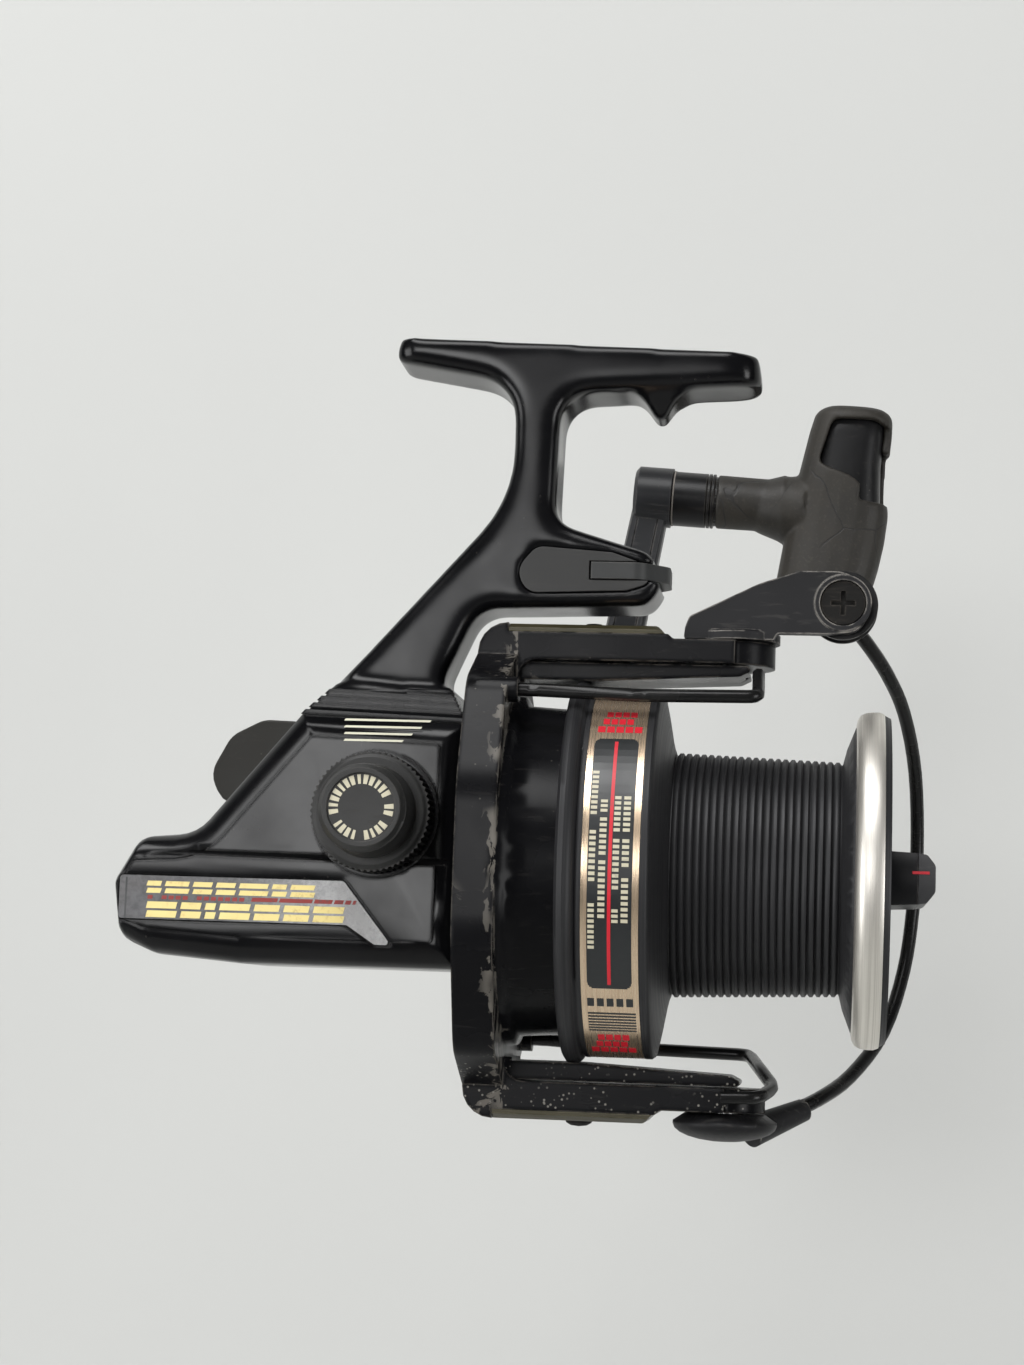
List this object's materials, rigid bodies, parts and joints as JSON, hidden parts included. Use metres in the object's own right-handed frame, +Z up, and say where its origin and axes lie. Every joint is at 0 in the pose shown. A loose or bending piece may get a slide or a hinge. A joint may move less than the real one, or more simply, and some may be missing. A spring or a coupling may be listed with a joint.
{
  "type": "fixed-spool fishing reel",
  "caption": "Long-cast fishing reel with a ribbed spool, U-shaped rotor, folding crank, swinging bail and front drag knob.",
  "frame": {"origin": "middle of the top face of the reel foot, where it lies on the rod", "axes": "+X to the front of the spool, +Z up to the rod, +Y to the side of the crank"},
  "size_m": [0.1623, 0.1219, 0.1666],
  "materials": {
    "anodised": "black anodised",
    "black_gloss": "gloss black enamel with fine scuffs",
    "black_plastic": "satin black",
    "black_satin": "satin black",
    "brass": "machined brass",
    "charcoal": "matte charcoal with worn edges",
    "felt": "oiled felt and steel discs",
    "gold_label": "metallic gold foil",
    "grey_inlay": "satin mid grey",
    "olive_plastic": "olive khaki",
    "olive_rubber": "aged olive-brown, fine cracks",
    "side_plate": "mottled metallic dark grey",
    "silver_ring": "brushed warm silver",
    "steel": "turned steel",
    "tip_grey": "light grey",
    "wire": "satin black wire"
  },
  "bodies": {
    "housing": {"housing": "black_gloss", "side_cover": "black_gloss", "cover_screws": "steel", "side_plate": "side_plate", "arm_inlay": "grey_inlay", "trip_bumper": "grey_inlay", "near_bearing": "steel", "far_bearing": "steel", "pinion_bearing": "steel", "bearing_clip": "steel", "guide_rod": "steel"},
    "drive": {"drive_gear": "brass", "ratchet_wheel": "steel", "retrieve_cap": "black_plastic", "handle_base": "charcoal", "fold_pin": "steel"},
    "crank": {"crank_arm": "charcoal", "knob_collar": "black_plastic"},
    "knob": {"knob_core": "black_plastic", "knob_grip": "olive_rubber"},
    "rotor": {"rotor": "black_satin", "upper_arm_cover": "olive_plastic", "lower_arm_cover": "olive_plastic", "arm_cover_screws": "black_satin", "pivot_pins": "steel", "upper_guard_wire": "wire", "lower_guard_wire": "wire", "rotor_nut": "steel", "pinion": "brass"},
    "bail": {"bail_arm": "charcoal", "bail_wire": "wire", "bail_hub": "charcoal", "roller_screw": "charcoal"},
    "line_roller": {"line_roller": "steel"},
    "shaft": {"main_shaft": "steel", "slider": "brass", "slider_screw": "steel"},
    "spool": {"spool": "anodised", "spool_lip": "silver_ring", "label_band": "gold_label", "click_gear": "steel", "drag_washers": "felt", "washer_clip": "steel"},
    "drag_knob": {"drag_knob": "black_plastic", "drag_knob_tip": "tip_grey"},
    "oscillation_gear": {"oscillation_gear": "brass"},
    "anti_reverse_lever": {"anti_reverse_lever": "olive_plastic"},
    "pawl": {"pawl": "steel"}
  },
  "joints": [
    {"name": "rotor_spin", "type": "hinge", "parent": "housing", "child": "rotor", "pos_m": [0, 0, -0.1068], "axis": [1, 0, 0], "continuous": true},
    {"name": "drive_spin", "type": "hinge", "parent": "housing", "child": "drive", "pos_m": [-0.0355, 0, -0.0975], "axis": [0, 1, 0], "continuous": true},
    {"name": "handle_fold", "type": "hinge", "parent": "drive", "child": "crank", "pos_m": [-0.0355, 0.075, -0.0975], "axis": [0, 0, 1], "range_deg": [0, 90]},
    {"name": "knob_spin", "type": "hinge", "parent": "crank", "child": "knob", "pos_m": [0.01135, 0.075, -0.0152], "axis": [0.998, 0, -0.0628], "continuous": true},
    {"name": "bail_flip", "type": "hinge", "parent": "rotor", "child": "bail", "pos_m": [0.034, 0, -0.1068], "axis": [0, 0, 1], "range_deg": [-100, 0]},
    {"name": "line_roller_spin", "type": "hinge", "parent": "bail", "child": "line_roller", "pos_m": [0.0552, 0, -0.052], "axis": [0, 1, 0], "continuous": true},
    {"name": "shaft_slide", "type": "slide", "parent": "housing", "child": "shaft", "axis": [1, 0, 0], "range_m": [-0.009, 0.009]},
    {"name": "spool_spin", "type": "hinge", "parent": "shaft", "child": "spool", "pos_m": [0, 0, -0.1068], "axis": [1, 0, 0], "continuous": true},
    {"name": "drag_knob_turn", "type": "hinge", "parent": "shaft", "child": "drag_knob", "pos_m": [0, 0, -0.1068], "axis": [1, 0, 0], "range_deg": [-360, 360]},
    {"name": "oscillation_gear_spin", "type": "hinge", "parent": "housing", "child": "oscillation_gear", "pos_m": [-0.06, 0, -0.1108], "axis": [0, 1, 0], "continuous": true},
    {"name": "anti_reverse_turn", "type": "hinge", "parent": "housing", "child": "anti_reverse_lever", "pos_m": [-0.0535, 0, -0.0868], "axis": [0, 1, 0], "range_deg": [0, 25]},
    {"name": "pawl_lift", "type": "hinge", "parent": "housing", "child": "pawl", "pos_m": [-0.0545, 0, -0.0913], "axis": [0, 1, 0], "range_deg": [0, 12.5]}
  ],
  "couplings": [
    {"joint": "drive_spin", "follows": "rotor_spin", "ratio": -0.2439},
    {"joint": "oscillation_gear_spin", "follows": "rotor_spin", "ratio": 0.3125},
    {"joint": "pawl_lift", "follows": "anti_reverse_turn", "ratio": 0.5}
  ]
}
